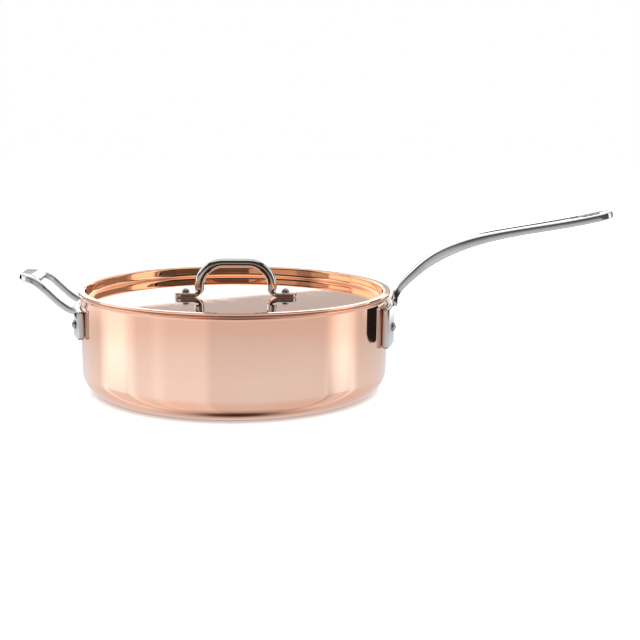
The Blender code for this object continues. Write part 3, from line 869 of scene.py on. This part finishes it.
def studio_world():
    """A white table and wall, soft boxes at both sides, a dark room behind the camera, cards."""
    world = bpy.data.worlds.new("studio")
    bpy.context.scene.world = world
    world.use_nodes = True
    tree = Tree(world.node_tree)
    split = tree.add("ShaderNodeSeparateXYZ")
    tree.feed(split.inputs[0], tree.add("ShaderNodeTexCoord").outputs["Generated"])
    x, y, z = split.outputs
    azimuth = tree.math("DEGREES", tree.math("ARCTAN2", x, tree.math("MULTIPLY", y, -1.0)))
    elevation = tree.math("DEGREES", tree.math("ARCSINE", z))
    climb = tree.math("DIVIDE", tree.math("ADD", elevation, 90.0), 180.0)
    box = tree.math("MAXIMUM", *(band(tree, azimuth, *sides, BOX_SOFT) for sides in BOX_SIDES))

    table = table_light(tree, azimuth, elevation, climb, box)
    # the table ends lower where the dark room is mirrored on the right
    lower = tree.math("MULTIPLY", band(tree, azimuth, 22.0, 70.0, 4.0), 6.0)
    table_end = tree.math("SUBTRACT", 1.0, lower)
    room = front_room(tree, azimuth, elevation, box)
    front = tree.blend(tree.span(elevation, -9.5, table_end), table, room)
    back = tree.blend(tree.span(elevation, -11.0, -8.0), table, back_room(tree, x, elevation, climb))
    studio = tree.blend(tree.span(tree.math("ABSOLUTE", azimuth), 104.0, 112.0), front, back)

    for left, right, bottom, top, level in CARDS:
        sides = band(tree, azimuth, left, right, EDGE)
        card = tree.math("MULTIPLY", sides, band(tree, elevation, bottom, top, 0.5))
        studio = tree.blend(card, studio, grey(level))
    studio = tree.blend(flag(tree, azimuth, elevation), studio, grey(BLACK))

    seen = tree.add("ShaderNodeLightPath").outputs["Is Camera Ray"]
    light = tree.nodes["Background"]
    tree.feed(light.inputs["Color"], tree.blend(seen, studio, grey(BACKDROP)))
    light.inputs["Strength"].default_value = WORLD_STRENGTH


FLOOR_HALF = 6.0
FLOOR_GLOW = 0.9
FLOOR_PAINTED_SHADOW = (0.12, 0.148)  # from the axis: where the painted shadow round the foot starts to lift, and its end
LAMP_SIZE = 3.0
LAMP_HEIGHT = 2.2
LAMP_POWER = 60.0
CAMERA_PLACE = (0.0024, -0.9862, 0.2467)
CAMERA_AIM = (0.0796, -0.0063, 0.0631)
CAMERA_LENS = 59.29
CAMERA_ROLL = math.radians(0.752)


def make_floor():
    """A pale sheet that the pan stands on. It glows, apart from a soft painted shadow round the pan's foot.
    """
    build = bmesh.new()
    bmesh.ops.create_grid(build, x_segments=1, y_segments=1, size=FLOOR_HALF)
    floor = add("floor", mesh_from("floor", build, 30))
    material, tree, shader = new_metal("pale_floor")
    shader.inputs["Metallic"].default_value = 0.0
    shader.inputs["Base Color"].default_value = (0.62, 0.56, 0.54, 1.0)
    shader.inputs["Roughness"].default_value = 0.3
    shader.inputs["Specular IOR Level"].default_value = 0.25
    shader.inputs["Emission Color"].default_value = (1.0, 1.0, 1.0, 1.0)
    split = tree.add("ShaderNodeSeparateXYZ")
    tree.feed(split.inputs[0], tree.add("ShaderNodeTexCoord").outputs["Object"])
    x, y = split.outputs[0], split.outputs[1]
    from_axis = tree.math("SQRT", tree.math("ADD", tree.math("MULTIPLY", x, x), tree.math("MULTIPLY", y, y)))
    # painted shadow: the glow fades out towards the pan's axis, by distance alone, whatever the light
    tree.feed(shader.inputs["Emission Strength"], tree.span(from_axis, *FLOOR_PAINTED_SHADOW, 0.0, FLOOR_GLOW))
    floor.data.materials.append(material)
    floor.visible_glossy = False


def make_lights():
    """A wide soft light over the floor, which the metals don't mirror."""
    lamp = bpy.data.lights.new("overhead", "AREA")
    lamp.shape = "DISK"
    lamp.size = LAMP_SIZE
    lamp.energy = LAMP_POWER
    item = bpy.data.objects.new("overhead", lamp)
    item.location = (0.0, 0.0, LAMP_HEIGHT)
    item.visible_glossy = False
    bpy.context.scene.collection.objects.link(item)


def make_camera():
    """A low viewpoint, a little turned, about a metre away."""
    camera = bpy.data.cameras.new("camera")
    camera.sensor_width = 36.0
    camera.lens = CAMERA_LENS
    item = bpy.data.objects.new("camera", camera)
    item.location = CAMERA_PLACE
    aim = Vector(CAMERA_AIM) - item.location
    turn = aim.to_track_quat("-Z", "Y").to_matrix().to_4x4()
    item.rotation_euler = turn.to_euler()
    item.rotation_euler.rotate_axis("Z", CAMERA_ROLL)
    bpy.context.scene.collection.objects.link(item)
    bpy.context.scene.camera = item


# ---------------------------------------------------------------- assembly

def finish(piece, body, metal, slot, *nodes):
    """Gives a piece its metal and lets it stand for its CAD nodes."""
    piece.data.materials.clear()
    piece.data.materials.append(metal)
    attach(piece, body)
    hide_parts(*nodes)


def make_pieces():
    copper, lining = copper_metal(), lining_metal()
    steel, rivet = steel_metal(), rivet_metal()
    shell, inside = make_pan()
    finish(shell, "pan", copper, "polished_copper", "pan_copper_shell")
    finish(inside, "pan", lining, "brushed_steel", "pan_steel_lining")
    shell, underside = make_lid()
    finish(shell, "lid", copper, "polished_copper", "lid_copper_shell")
    finish(underside, "lid", lining, "brushed_steel", "lid_steel_lining")
    finish(make_long_handle(), "pan", steel, "polished_steel", "long_handle")
    finish(make_helper_handle(), "pan", steel, "polished_steel", "helper_handle")
    finish(make_lid_handle(), "lid", steel, "polished_steel", "lid_handle")
    make_wall_rivets("long_handle", 1, LONG_PLATE_HIGH - LONG_RIVET_DROP, rivet)
    make_wall_rivets("helper_handle", -1, HELPER_PLATE_HIGH - HELPER_RIVET_DROP, rivet)
    for suffix, side in (("left", -1), ("right", 1)):
        place = Vector((side * ARCH_RIVET, 0.0, FOOT_LOW + FOOT_THICKNESS + GAP))
        profile = rivet_profile(FOOT_THICKNESS + LID_WALL + 3 * GAP, LID_RIVET_HEAD, LID_RIVET_DOME)
        make_rivet(f"lid_handle_rivet_{suffix}", place, Vector((0.0, 0.0, 1.0)), profile, "lid", rivet)


make_pieces()
make_floor()
make_lights()
studio_world()
make_camera()
bpy.context.scene.view_settings.view_transform = "Standard"
